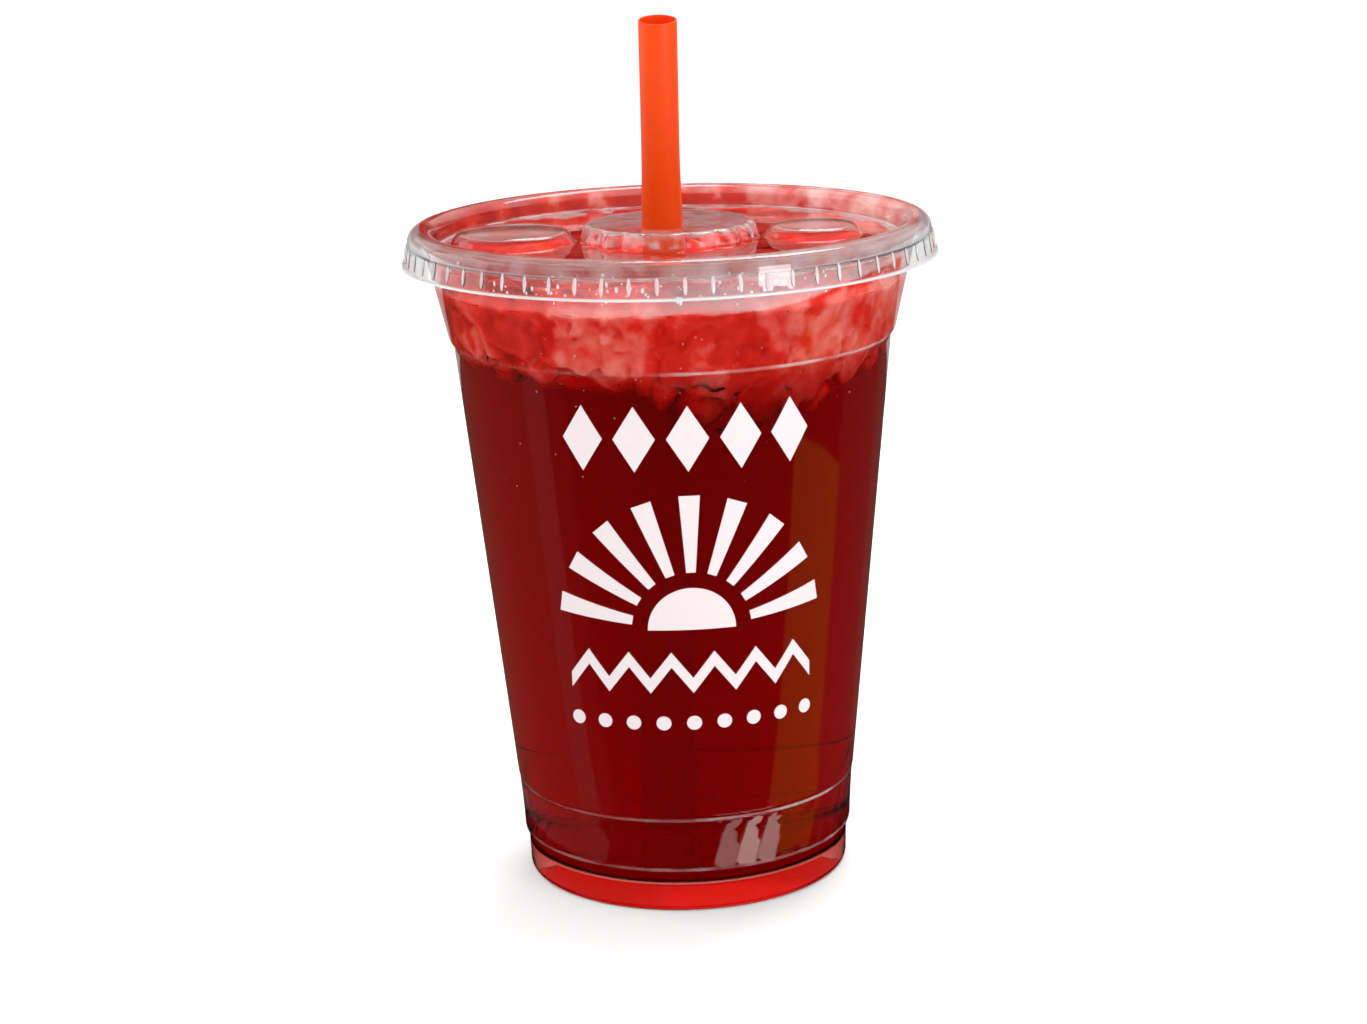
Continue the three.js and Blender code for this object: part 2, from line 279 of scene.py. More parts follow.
def makeClearPet(name, look):
    material, tree = newMaterial(name)
    place = addNode(tree, "ShaderNodeTexCoord").outputs["Object"]
    split = addNode(tree, "ShaderNodeSeparateXYZ", {}, {0: place})
    height = split.outputs["Z"]
    waves = addNode(tree, "ShaderNodeTexNoise", {"Scale": 1 / (look["waveSize"] * mm), "Detail": 1.5},
                    {"Vector": place})
    bump = addNode(tree, "ShaderNodeBump", {"Strength": look["waves"], "Distance": 1.0 * mm},
                   {"Height": waves.outputs["Fac"]})
    patches = addNode(tree, "ShaderNodeTexNoise", {"Scale": 1 / (7 * mm), "Detail": 3.0}, {"Vector": place})
    uneven = addNode(tree, "ShaderNodeMapRange", {1: 0.4, 2: 0.62, 3: 0.25, 4: 1.0}, {0: patches.outputs["Fac"]})
    haze = None
    for middle, halfWidth, white, left in look["creases"]:
        off = addNode(tree, "ShaderNodeMath", {"operation": "COMPARE", 1: middle * mm, 2: halfWidth * mm}, {0: height})
        # Painted highlight: each crease is whiter towards the right, where the light falls, from its share on the left
        # up to its full whiteness.
        fall = addNode(tree, "ShaderNodeMapRange", {1: -12 * mm, 2: 6 * mm, 3: white * left, 4: white},
                       {0: split.outputs["X"]})
        line = addNode(tree, "ShaderNodeMath", {"operation": "MULTIPLY"}, {0: off.outputs[0], 1: fall.outputs[0]})
        line = addNode(tree, "ShaderNodeMath", {"operation": "MULTIPLY"}, {0: line.outputs[0], 1: uneven.outputs[0]})
        haze = addHaze(tree, haze, line.outputs[0])
    if "mist" in look:
        edge = addNode(tree, "ShaderNodeMath", {"operation": "MULTIPLY_ADD", 1: look["mistEdge"] * mm},
                       {0: patches.outputs["Fac"], 2: height})
        near, far, rise = look["mistRise"]
        lift = addNode(tree, "ShaderNodeMapRange",
                       {"interpolation_type": "SMOOTHSTEP", 1: near * mm, 2: far * mm, 3: 0.0, 4: -rise * mm},
                       {0: split.outputs["X"]})
        edge = addNode(tree, "ShaderNodeMath", {"operation": "ADD"}, {0: edge.outputs[0], 1: lift.outputs[0]})
        low = (look["mistFrom"] + look["mistEdge"] / 2) * mm
        high = look["mistTo"] * mm
        start = addNode(tree, "ShaderNodeMapRange", {1: low - 0.3 * mm, 2: low + 0.3 * mm, 3: 0.0, 4: look["mist"]},
                        {0: edge.outputs[0]})
        end = addNode(tree, "ShaderNodeMapRange", {1: high, 2: high + 2 * mm, 3: 1.0, 4: 0.0}, {0: height})
        left, right = look["mistSide"]
        side = addNode(tree, "ShaderNodeMapRange", {1: left * mm, 2: right * mm, 3: 0.2, 4: 1.0},
                       {0: split.outputs["X"]})
        mist = addNode(tree, "ShaderNodeMath", {"operation": "MULTIPLY"}, {0: start.outputs[0], 1: end.outputs[0]})
        mist = addNode(tree, "ShaderNodeMath", {"operation": "MULTIPLY"}, {0: mist.outputs[0], 1: side.outputs[0]})
        haze = addHaze(tree, haze, mist.outputs[0])
    if "skirt" in look:
        skirt = look["skirt"]
        axis = addNode(tree, "ShaderNodeCombineXYZ", {}, {0: split.outputs["X"], 1: split.outputs["Y"]})
        radius = addNode(tree, "ShaderNodeVectorMath", {"operation": "LENGTH"}, {0: axis.outputs[0]})
        out = addNode(tree, "ShaderNodeMath", {"operation": "MULTIPLY_ADD", 1: skirt["slope"]},
                      {0: height, 2: radius.outputs["Value"]})
        limit = (skirt["radius"] + skirt["slope"] * skirt["height"] + skirt["proud"]) * mm
        # Painted highlight, partly stretch whitening: the ribs that stand proud of the skirt are painted white for the
        # line of light that each catches.
        proud = addNode(tree, "ShaderNodeMath", {"operation": "GREATER_THAN", 1: limit}, {0: out.outputs[0]})
        rib = addNode(tree, "ShaderNodeMath", {"operation": "MULTIPLY", 1: skirt["white"]}, {0: proud.outputs[0]})
        haze = addHaze(tree, haze, rib.outputs[0])
        frost = look["frost"]
        near = addNode(tree, "ShaderNodeMath", {"operation": "LESS_THAN", 1: frost["radius"] * mm},
                       {0: radius.outputs["Value"]})
        level = addNode(tree, "ShaderNodeMath",
                        {"operation": "COMPARE", 1: (frost["from"] + frost["to"]) / 2 * mm,
                         2: (frost["to"] - frost["from"]) / 2 * mm}, {0: height})
        side = addNode(tree, "ShaderNodeMath", {"operation": "MULTIPLY"}, {0: near.outputs[0], 1: level.outputs[0]})
        grains = addNode(tree, "ShaderNodeTexNoise", {"Scale": 1 / (2.5 * mm), "Detail": 2.0}, {"Vector": place})
        worn = addNode(tree, "ShaderNodeMapRange", {1: 0.42, 2: 0.6, 3: 0.0, 4: frost["white"]},
                       {0: grains.outputs["Fac"]})
        side = addNode(tree, "ShaderNodeMath", {"operation": "MULTIPLY"}, {0: side.outputs[0], 1: worn.outputs[0]})
        haze = addHaze(tree, haze, side.outputs[0])
    clear = addNode(tree, "ShaderNodeMath", {"operation": "SUBTRACT", 0: 1.0}, {1: haze})
    rough = addNode(tree, "ShaderNodeMapRange", {3: 0.03, 4: 0.45}, {0: haze})
    shader = addNode(tree, "ShaderNodeBsdfPrincipled",
                     {"Base Color": linearColour("#FBFDFE"), "IOR": 1.46},
                     {"Normal": bump.outputs["Normal"], "Transmission Weight": clear.outputs[0],
                      "Roughness": rough.outputs[0]})
    finishMaterial(tree, shader.outputs["BSDF"])
    return material


# Red tea: clear and deeply coloured, so it is bright where it is thin and nearly black where it is deep
def makeRedTea():
    material, tree = newMaterial("brewedRedTea")
    shader = addNode(tree, "ShaderNodeBsdfPrincipled",
                     {"Base Color": (1, 1, 1, 1), "Roughness": 0.0, "IOR": 1.34, "Transmission Weight": 1.0,
                      "Specular IOR Level": 0.5})
    volume = addNode(tree, "ShaderNodeVolumeAbsorption", {"Color": (0.912, 0.14, 0.02, 1), "Density": 250.0})
    finishMaterial(tree, shader.outputs["BSDF"], volume.outputs["Volume"])
    return material


# Lid: sizes in mm. Buttons are place along X, radius and height
lidValues = {
    "wall": 0.4, "steps": 256, "panel": 124.2, "panelRadius": 43.4,
    "outline": [
        (42.6, 124.2, 0), (43.4, 124.2, 0), (44.3, 124.2, 0.7), (44.75, 128.1, 1.9), (49.75, 128.1, 2.2),
        (49.75, 125.6, 0.5), (50.35, 121.75, 0.25), (51.0, 121.7, 0.15), (51.0, 121.3, 0),
    ],
    "plateauSteps": 192, "plateauRadius": 17.1, "plateauTop": 127.8, "lobes": 16, "lobeDepth": 0.8,
    "buttons": [(-29.9, 12.0, 3.1), (27.4, 9.4, 2.8)],
    "slotReach": 9.0, "slotWidth": 0.8, "strawRoom": 0.25,
    "ribs": 64, "ribSize": (0.42, 0.42, 1.7), "ribPlace": (50.02, 123.75), "ribSlope": 8.8,
}


def makeLidSheet(values):
    bm = bmesh.new()
    panel = values["panel"]
    spinOutline(bm, values["outline"], values["steps"], arcSteps=7)
    for x, radius, height in values["buttons"]:
        top = panel + height
        corners = [(radius + 0.4, panel, 0), (radius, panel, 0.35),
                   (radius - 1.3, top - 0.7, 1.0), (radius * 0.5, top - 0.15, 0), (0, top, 0)]
        spinOutline(bm, corners, 72, arcSteps=5, centre=(x, 0))
    plateau = bmesh.new()
    radius = values["plateauRadius"]
    top = values["plateauTop"]
    corners = [(radius + 0.35, panel, 0), (radius, panel, 0.3),
               (radius - 0.9, top - 0.2, 0.8), (radius - 3, top - 0.2, 0), (radius * 0.5, top - 0.05, 0), (0, top, 0)]
    spinOutline(plateau, corners, values["plateauSteps"], arcSteps=6)
    for vert in plateau.verts:
        angle = math.atan2(vert.co.y, vert.co.x)
        span = vert.co.xy.length / mm
        share = min(max((span - radius + 3) / 2, 0), 1) * min(max((radius + 0.3 - span) / 0.3, 0), 1)
        dip = values["lobeDepth"] * (1 - abs(math.cos(angle * values["lobes"] / 2))) * share
        vert.co.xy *= 1 - dip / max(span, 1)
    addTo(bm, plateau)
    flat = [edge for edge in bm.edges if edge.is_boundary
            and all(abs(vert.co.z - panel * mm) < 1e-6 for vert in edge.verts)]
    bmesh.ops.triangle_fill(bm, use_beauty=True, use_dissolve=False, edges=flat, normal=(0, 0, 1))
    bmesh.ops.recalc_face_normals(bm, faces=bm.faces[:])
    highest = max(bm.faces, key=lambda face: face.calc_center_median().z)
    if highest.normal.z < 0:
        bmesh.ops.reverse_faces(bm, faces=bm.faces[:])
    return bm


# Straw: sizes in mm. It stands on the cup's floor and leans towards the front, on the edge of the lid's slot,
# which pinches it to an oval there
strawValues = {
    "top": (-0.95, -14.75, 166.8), "foot": (-2.39, 14.62, 6.6), "radius": 3.55, "wall": 0.35,
    "pinchHeight": 127.5, "pinch": 0.09, "pinchReach": 9.0,
}


def strawAxis(values):
    top = Vector(values["top"])
    foot = Vector(values["foot"])
    return top, foot, (top - foot).normalized()


# Pinches a tube that stands on the origin, then moves it to the straw's place
def placeOnStraw(bm, values):
    top, foot, axis = strawAxis(values)
    pinched = (values["pinchHeight"] - foot.z) / axis.z
    far = [4 * values["pinchReach"] / 24 * i for i in range(-12, 13)]
    for step in far:
        bmesh.ops.bisect_plane(bm, geom=bm.verts[:] + bm.edges[:] + bm.faces[:], dist=1e-7,
                               plane_co=(0, 0, (pinched + step) * mm), plane_no=(0, 0, 1))
    for vert in bm.verts:
        share = math.exp(-((vert.co.z / mm - pinched) / values["pinchReach"]) ** 2)
        vert.co.x *= 1 + values["pinch"] * share
        vert.co.y *= 1 - values["pinch"] * share
    turn = axis.to_track_quat("Z", "Y").to_matrix().to_4x4()
    bmesh.ops.transform(bm, matrix=Matrix.Translation(foot * mm) @ turn, verts=bm.verts[:])


def makeStraw(values, level, dry, wet):
    top, foot, axis = strawAxis(values)
    length = (top - foot).length
    radius = values["radius"]
    inner = radius - values["wall"]
    bm = bmesh.new()
    corners = [(inner, 0, 0.1), (radius, 0, 0.1), (radius, length, 0.12), (inner, length, 0.12), (inner, 0, 0)]
    spinOutline(bm, corners, 64, arcSteps=3)
    bmesh.ops.remove_doubles(bm, verts=bm.verts[:], dist=1e-6)
    bmesh.ops.recalc_face_normals(bm, faces=bm.faces[:])
    placeOnStraw(bm, values)
    bmesh.ops.bisect_plane(bm, geom=bm.verts[:] + bm.edges[:] + bm.faces[:], dist=1e-7,
                           plane_co=(0, 0, level * mm), plane_no=(0, 0, 1))
    for face in bm.faces:
        if face.calc_center_median().z < level * mm:
            face.material_index = 1
    piece = newPiece("orangeStraw", bm, dry, sharpAngle=60)
    piece.data.materials.append(wet)
    return piece


# Extruded polypropylene: satin and translucent. Under the drink its edges almost vanish, because the drink bends light
# nearly as much as the plastic does. The part under the drink is also a lit copy of the plastic, painted paler and far
# clearer, so that the straw shows no shade in the tea.
strawLook = {
    "dry": {"colours": ("#FA4A02", "#FC5408"), "rough": 0.38, "ior": 1.49, "clear": 0.2},
    # Painted light: the submerged copy is paler and far clearer than the dry plastic.
    "wet": {"colours": ("#FF8A40", "#FF9650"), "rough": 0.12, "ior": 1.11, "clear": 0.9},
}


def makeStrawPlastic(name, look):
    material, tree = newMaterial(name)
    place = addNode(tree, "ShaderNodeTexCoord")
    grain = addNode(tree, "ShaderNodeTexNoise", {"Scale": 1 / (1.5 * mm), "Detail": 2.0},
                    {"Vector": place.outputs["Object"]})
    colour = addNode(tree, "ShaderNodeMix", {"data_type": "RGBA"}, {0: grain.outputs["Fac"]})
    colour.inputs[6].default_value = linearColour(look["colours"][0])
    colour.inputs[7].default_value = linearColour(look["colours"][1])
    shader = addNode(tree, "ShaderNodeBsdfPrincipled",
                     {"Roughness": look["rough"], "IOR": look["ior"], "Specular IOR Level": 0.1,
                      "Transmission Weight": look["clear"], "Subsurface Weight": 0.5, "Subsurface Scale": 0.8 * mm,
                      "Subsurface Radius": (1.0, 0.4, 0.1)},
                     {"Base Color": colour.outputs[2]})
    finishMaterial(tree, shader.outputs["BSDF"])
    return material


def makeLid(values, straw, material):
    bm = makeLidSheet(values)
    bmesh.ops.solidify(bm, geom=bm.faces[:], thickness=values["wall"] * mm)
    bmesh.ops.recalc_face_normals(bm, faces=bm.faces[:])
    piece = newPiece("clearLid", bm, material, sharpAngle=40)
    cutPiece(piece, "UNION", makeRibs(values))
    cutLid(piece, values, straw)
    return piece


# Upright ribs round the skirt
def makeRibs(values):
    bm = bmesh.new()
    radius, height = values["ribPlace"]
    size = Matrix.Diagonal([side * mm for side in values["ribSize"]] + [1])
    lean = Matrix.Rotation(-math.radians(values["ribSlope"]), 4, "Y")
    for i in range(values["ribs"]):
        made = bmesh.ops.create_uvsphere(bm, u_segments=12, v_segments=10, radius=1)["verts"]
        turn = Matrix.Rotation((i + 0.5) * 2 * math.pi / values["ribs"], 4, "Z")
        place = Matrix.Translation((radius * mm, 0, height * mm))
        bmesh.ops.transform(bm, matrix=turn @ place @ lean @ size, verts=made)
    return newCutter("ribs", bm)


# The cross slot, and the hole that the straw has pushed open in it
def cutLid(piece, values, straw):
    bm = bmesh.new()
    for turn in (0, math.pi / 2):
        made = bmesh.ops.create_cube(bm, size=1)["verts"]
        size = Matrix.Diagonal((2 * values["slotReach"] * mm, values["slotWidth"] * mm, 6 * mm, 1))
        place = Matrix.Translation((0, 0, values["plateauTop"] * mm)) @ Matrix.Rotation(turn, 4, "Z")
        bmesh.ops.transform(bm, matrix=place @ size, verts=made)
    slots = newCutter("slots", bm)
    cutPiece(piece, "DIFFERENCE", slots, strawCutter(straw, values["strawRoom"]))


# A rod along the straw, thicker than it by the given room
def strawCutter(straw, room):
    bm = bmesh.new()
    radius = (straw["radius"] + room) * mm
    bmesh.ops.create_cone(bm, cap_ends=True, segments=48, radius1=radius, radius2=radius, depth=0.4)
    placeOnStraw(bm, straw)
    return newCutter("strawRod", bm)


def newCutter(name, bm):
    mesh = bpy.data.meshes.new(name)
    bm.to_mesh(mesh)
    bm.free()
    return bpy.data.objects.new(name, mesh)


# Gives a piece the mesh that its modifiers make
def applyModifiers(piece):
    bpy.context.view_layer.update()
    graph = bpy.context.evaluated_depsgraph_get()
    mesh = bpy.data.meshes.new_from_object(piece.evaluated_get(graph))
    old = piece.data
    piece.modifiers.clear()
    piece.data = mesh
    bpy.data.meshes.remove(old)
    mesh.name = piece.name


# Cuts solids from a piece, or joins them to it, and removes them
def cutPiece(piece, operation, *cutters):
    group = bpy.data.collections.new("cutters")
    bpy.context.scene.collection.children.link(group)
    for cutter in cutters:
        group.objects.link(cutter)
    cut = piece.modifiers.new("cut", "BOOLEAN")
    cut.operation = operation
    cut.solver = "MANIFOLD"
    cut.operand_type = "COLLECTION"
    cut.collection = group
    applyModifiers(piece)
    for cutter in cutters:
        bpy.data.objects.remove(cutter)
    bpy.data.collections.remove(group)
    print(piece.name, "after", operation.lower(), len(piece.data.polygons), "faces")


# Crushed ice: sizes in mm. Its core is packed slush, creased between the pieces, and each level of lumps on it is
# height, lump size and how many rings it has, from the wall inwards.
# The heap hangs lowest in one place, at an angle in degrees from the front towards the right.
iceValues = {
    "seed": 20, "wallRoom": 0.45, "roundness": 10, "cuts": 14, "intoTea": 0.15, "spacing": 1.2, "ringStep": 1.2,
    "top": 123.7, "bottom": 101.5, "lowest": 92.5, "lowestAt": 28.0, "strawRoom": 0.35,
    "freeBox": ((-11.5, -2, 117.6), (11.5, 9.5, 130)),
    "levels": [(120.8, 4.6, 5), (101.6, 6.8, 2), (97.6, 5.6, 2)],
    "core": [(0, 98, 0), (26, 98, 6), (39.5, 101.5, 5), (44.0, 107, 5), (46.3, 123.4, 0.8), (0, 122.8, 0)],
    "calm": (117.4, 1.6), "intoWall": 0.3, "sunkFrom": 106.0, "sunkSlope": 0.45,
    "voxel": 1.1, "pieceSize": 9.5, "creaseDepth": 2.7, "creaseWidth": 0.5, "swell": 0.9, "freeSlope": 3.0,
}


def cupInnerRadius(height, cup):
    outline = cup["outline"]
    for (r0, z0, _), (r1, z1, _) in zip(outline, outline[1:]):
        if z0 <= height <= z1 and z1 - z0 > 1:
            return r0 + (r1 - r0) * (height - z0) / (z1 - z0) - cup["wall"]
    return outline[0][0]


# A lump is a sphere pressed flat by random planes, with soft edges as melting ice has
def makeLump(rand, size, values):
    bm = bmesh.new()
    made = bmesh.ops.create_icosphere(bm, subdivisions=3, radius=1)["verts"]
    planes = []
    for i in range(values["cuts"]):
        way = Vector((rand.gauss(0, 1), rand.gauss(0, 1), rand.gauss(0, 1))).normalized()
        planes.append((way, rand.uniform(0.7, 1.05)))
    stretch = Vector((rand.uniform(0.75, 1.3), rand.uniform(0.75, 1.3), rand.uniform(0.6, 1.05)))
    offset = Vector((rand.uniform(0, 50), rand.uniform(0, 50), rand.uniform(0, 50)))
    power = values["roundness"]
    for vert in made:
        way = vert.co.normalized()
        press = sum(max(way.dot(side) / far, 0) ** power for side, far in planes) + 0.25
        dent = 1 + 0.07 * noise.noise(way * 2.2 + offset)
        vert.co = way * (size * mm * dent * press ** (-1 / power)) * stretch
    return bm, made


# How low the heap hangs, by the angle round the cup
def heapBottom(angle, values):
    way = math.cos(angle + math.pi / 2 - math.radians(values["lowestAt"]))
    return values["bottom"] - (values["bottom"] - values["lowest"]) * max(way, 0) ** 4


# How far the heap keeps from the wall where it hangs in the narrow part of the cup
def sunkRoom(height, values):
    return max(values["sunkFrom"] - height, 0) * values["sunkSlope"]


def placeLump(made, centre, values, straw):
    top, foot, axis = strawAxis(straw)
    low, high = values["freeBox"]
    reach = max(vert.co.xy.length for vert in made) / mm
    onAxis = foot + axis * (centre - foot).dot(axis)
    away = centre - onAxis
    clear = reach * 0.6 + straw["radius"]
    if away.length < clear:
        centre = onAxis + away.normalized() * clear
    highest = values["top"]
    if low[0] - reach < centre.x < high[0] + reach and low[1] - reach < centre.y < high[1] + reach:
        highest = low[2]
        centre.z = min(centre.z, highest - max(vert.co.z for vert in made) / mm)
    for vert in made:
        vert.co += centre * mm
        vert.co.z = min(vert.co.z, highest * mm + 0.02 * (vert.co.z - highest * mm))


# Packed slush: a filled round heap, its skin drawn in along creases between pieces of uneven size
def makeIceCore(values, cup):
    bm = bmesh.new()
    spinOutline(bm, values["core"], 64)
    bmesh.ops.recalc_face_normals(bm, faces=bm.faces[:])
    heap = newCutter("crushedIce", bm)
    bpy.context.scene.collection.objects.link(heap)
    remesh = heap.modifiers.new("remesh", "REMESH")
    remesh.mode = "VOXEL"
    remesh.voxel_size = values["voxel"] * mm
    applyModifiers(heap)
    bm = bmesh.new()
    bm.from_mesh(heap.data)
    bm.normal_update()
    top = values["core"][-1][1]
    coreBottom = values["core"][0][1]
    low, high = values["freeBox"]
    noise.seed_set(values["seed"])  # without it the clock sets where noise_vector starts
    moves = []
    for vert in bm.verts:
        place = vert.co / (values["pieceSize"] * mm)
        place += 0.35 * noise.noise_vector(place * 1.7)
        near, next = noise.voronoi(place)[0][:2]
        crease = max(1 - (next - near) / values["creaseWidth"], 0) ** 2
        swell = 0.5 + 0.5 * noise.noise(vert.co / (14 * mm))
        moves.append(vert.normal * -(values["creaseDepth"] * crease + values["swell"] * swell) * mm)
    for vert, move in zip(bm.verts, moves):
        angle = math.atan2(vert.co.y, vert.co.x)
        flat = Vector((vert.co.x, vert.co.y, 0)) / mm
        ragged = 3.2 * noise.noise(flat / 9 + Vector((9, 9, 9))) + 2.2 * noise.noise(flat / 4)
        stretch = (top - heapBottom(angle, values) - ragged) / (top - coreBottom)
        calm = abs(top - (top - vert.co.z / mm) * stretch - values["calm"][0]) / values["calm"][1]
        calm = min(calm, 1)
        vert.co += move * calm
        height = top - (top - vert.co.z / mm) * stretch
        aside = max(low[0] - vert.co.x / mm, vert.co.x / mm - high[0], low[1] - vert.co.y / mm,
                    vert.co.y / mm - high[1])
        height = min(height, low[2] + max(aside - 1, 0) * values["freeSlope"])
        room = values["wallRoom"] * calm - values["intoWall"] * (1 - calm)
        limit = cupInnerRadius(height, cup) - room - sunkRoom(height, values)
        vert.co.z = height * mm
        vert.co.xy *= min(1, limit * mm / max(vert.co.xy.length, mm))
    bm.to_mesh(heap.data)
    bm.free()
    return heap


def makeIce(values, cup, straw, material):
    rand = random.Random(values["seed"])
    lumps = []
    for height, lumpSize, rings in values["levels"]:
        for ring in range(rings):
            radius = cupInnerRadius(height, cup) - lumpSize * (0.9 + ring * values["ringStep"])
            count = round(2 * math.pi * radius / (lumpSize * values["spacing"]))
            phase = rand.uniform(0, 2 * math.pi)
            for i in range(count):
                angle = phase + (i + 0.4 * (rand.random() - 0.5)) * 2 * math.pi / count
                size = lumpSize * rand.uniform(0.7, 1.3)
                centre = Vector((0, 0, height + 0.4 * lumpSize * (rand.random() - 0.5)))
                bm, made = makeLump(rand, size, values)
                lowest = heapBottom(angle, values) + 2.5 * (rand.random() - 0.5)
                if centre.z - 0.8 * size < lowest:
                    bm.free()
                    continue
                reach = max(vert.co.xy.length for vert in made) / mm
                out = min(radius + 0.3 * lumpSize * (rand.random() - 0.5),
                          cupInnerRadius(centre.z, cup) - values["wallRoom"] - reach - sunkRoom(centre.z, values))
                centre.xy = (out * math.cos(angle), out * math.sin(angle))
                placeLump(made, centre, values, straw)
                lumps.append(newCutter("lump", bm))
    heap = makeIceCore(values, cup)
    cutPiece(heap, "UNION", *lumps)
    cutPiece(heap, "DIFFERENCE", strawCutter(straw, values["strawRoom"]))
    heap.data.materials.clear()
    heap.data.materials.append(material)
    heap.data.shade_smooth()
    heap.data.set_sharp_from_angle(angle=math.radians(65))
    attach(heap, "root")
    return heap


# The pocket that the ice fills in the drink, a little smaller so that no air gap shows between them
def makeIcePocket(values, ice):
    bm = bmesh.new()
    bm.from_mesh(ice.data)
    bm.normal_update()
    for vert, move in [(vert, vert.normal * -values["intoTea"] * mm) for vert in bm.verts]:
        vert.co += move
    return newCutter("icePocket", bm)


# Crushed ice: cloudy with trapped air and soaked in tea, so it glows from inside, in pink where it is thickest.
# Sizes and heights in mm; tints run from soaked to cloudy. Painted light and shade: the heap is painted paler higher up
# and on the right, where more light reaches it, and darker low down in the drink, where it lies in shade.
iceLook = {
    "lumpSize": 11.0, "cloudSize": 4.5, "contrast": (0.32, 0.68, 0.26, 0.82), "paintedLightFrom": (104, 116), "soakedFrom": (118.5, 121.5), "side": 50.0,
    "tints": [(0.12, "#B00E06"), (0.5, "#E4382A"), (0.9, "#F8A094")], "paintedShadeFrom": (93, 108), "deep": "#7A0C07",
}


def makeCloudyIce(values):
    material, tree = newMaterial("cloudyCrushedIce")
    place = addNode(tree, "ShaderNodeTexCoord").outputs["Object"]
    split = addNode(tree, "ShaderNodeSeparateXYZ", {}, {0: place})
    drift = addNode(tree, "ShaderNodeTexNoise", {"Scale": 1 / (9 * mm), "Detail": 2.0}, {"Vector": place})
    drifted = addNode(tree, "ShaderNodeVectorMath", {"operation": "MULTIPLY_ADD", 1: (0.014, 0.014, 0.014)},
                      {0: drift.outputs["Color"], 2: place})
    lumps = addNode(tree, "ShaderNodeTexVoronoi",
                    {"feature": "SMOOTH_F1", "Scale": 1 / (values["lumpSize"] * mm), "Smoothness": 0.8},
                    {"Vector": drifted.outputs[0]})
    cloud = addNode(tree, "ShaderNodeTexNoise", {"Scale": 1 / (values["cloudSize"] * mm), "Detail": 3.0},
                    {"Vector": place})
    both = addNode(tree, "ShaderNodeMix", {"data_type": "RGBA", 0: 0.5},
                   {6: lumps.outputs["Color"], 7: cloud.outputs["Fac"]})
    # Painted light: paler higher up the heap, where light from above reaches it.
    low, high = values["paintedLightFrom"]
    raised = addNode(tree, "ShaderNodeMapRange", {1: low * mm, 2: high * mm, 3: 0.0, 4: 0.08},
                     {0: split.outputs["Z"]})
    low, high = values["soakedFrom"]
    soaked = addNode(tree, "ShaderNodeMapRange", {1: low * mm, 2: high * mm, 3: 0.0, 4: -0.40},
                     {0: split.outputs["Z"]})
    # Painted light: paler on the right and darker on the left, as the light falls from the right.
    side = addNode(tree, "ShaderNodeMapRange",
                   {1: -values["side"] * mm, 2: values["side"] * mm, 3: -0.10, 4: 0.06}, {0: split.outputs["X"]})
    low, high, least, most = values["contrast"]
    mottled = addNode(tree, "ShaderNodeMapRange", {1: low, 2: high, 3: least, 4: most}, {0: both.outputs[2]})
    depth = mottled.outputs[0]
    for part in (raised, soaked, side):
        depth = addNode(tree, "ShaderNodeMath", {"operation": "ADD"}, {0: depth, 1: part.outputs[0]}).outputs[0]
    tint = addNode(tree, "ShaderNodeValToRGB", {}, {"Fac": depth})
    ramp = tint.color_ramp.elements
    ramp.new(0.5)
    for element, (share, colour) in zip(ramp, values["tints"]):
        element.position = share
        element.color = linearColour(colour)
    # Painted shade: darker low in the drink, where little light reaches the heap.
    low, high = values["paintedShadeFrom"]
    deep = addNode(tree, "ShaderNodeMapRange", {1: low * mm, 2: high * mm, 3: 0.9, 4: 0.0}, {0: split.outputs["Z"]})
    tint = addNode(tree, "ShaderNodeMix", {"data_type": "RGBA", 7: linearColour(values["deep"])},
                   {0: deep.outputs[0], 6: tint.outputs["Color"]})
    shader = addNode(tree, "ShaderNodeBsdfPrincipled",
                     {"Roughness": 0.34, "IOR": 1.31, "Specular IOR Level": 0.12, "Subsurface Weight": 0.9,
                      "Subsurface Scale": 7 * mm,
                      "Subsurface Radius": (1.0, 0.5, 0.45)},
                     {"Base Color": tint.outputs[2]})
    finishMaterial(tree, shader.outputs["BSDF"])
    return material


# Tea and slush drawn up between the lid and the rim: a closed ring in that gap, its ends uneven, that spreads over
# the rim at the back. Sizes in mm
filmValues = {
    "steps": 240, "ragged": 0.5, "raggedSize": 5.0, "spreadFrom": 46.85, "spread": (-12.0, 18.0),
    "outline": [(45.22, 123.5, 0), (45.22, 126.2, 0), (45.42, 126.95, 0), (45.9, 127.45, 0), (46.6, 127.74, 0),
                (47.6, 127.86, 0), (48.3, 127.78, 0), (48.3, 127.6, 0), (47.6, 127.66, 0), (46.85, 127.56, 0),
                (46.35, 126.95, 0), (46.1, 126.3, 0), (45.95, 124.6, 0), (45.75, 123.5, 0), (45.22, 123.5, 0)],
}
filmLook = {"side": 45.0, "size": 6.0, "tints": [(0.25, "#A81006"), (0.5, "#C82C1A"), (0.95, "#F0C4BC")]}


def makeFilm(values, material):
    bm = bmesh.new()
    spinOutline(bm, values["outline"], values["steps"])
    bmesh.ops.recalc_face_normals(bm, faces=bm.faces[:])
    start, end = values["spread"]
    for vert in bm.verts:
        wander = noise.noise(vert.co / (values["raggedSize"] * mm))
        radius = vert.co.xy.length / mm
        if vert.co.z < 124 * mm:
            vert.co.z += values["ragged"] * wander * mm
        if radius > values["spreadFrom"]:
            share = min(max((vert.co.y / mm + 8 * wander - start) / (end - start), 0), 1)
            vert.co.xy *= (values["spreadFrom"] + (radius - values["spreadFrom"]) * share) / radius
    return newPiece("creptTea", bm, material, sharpAngle=60)
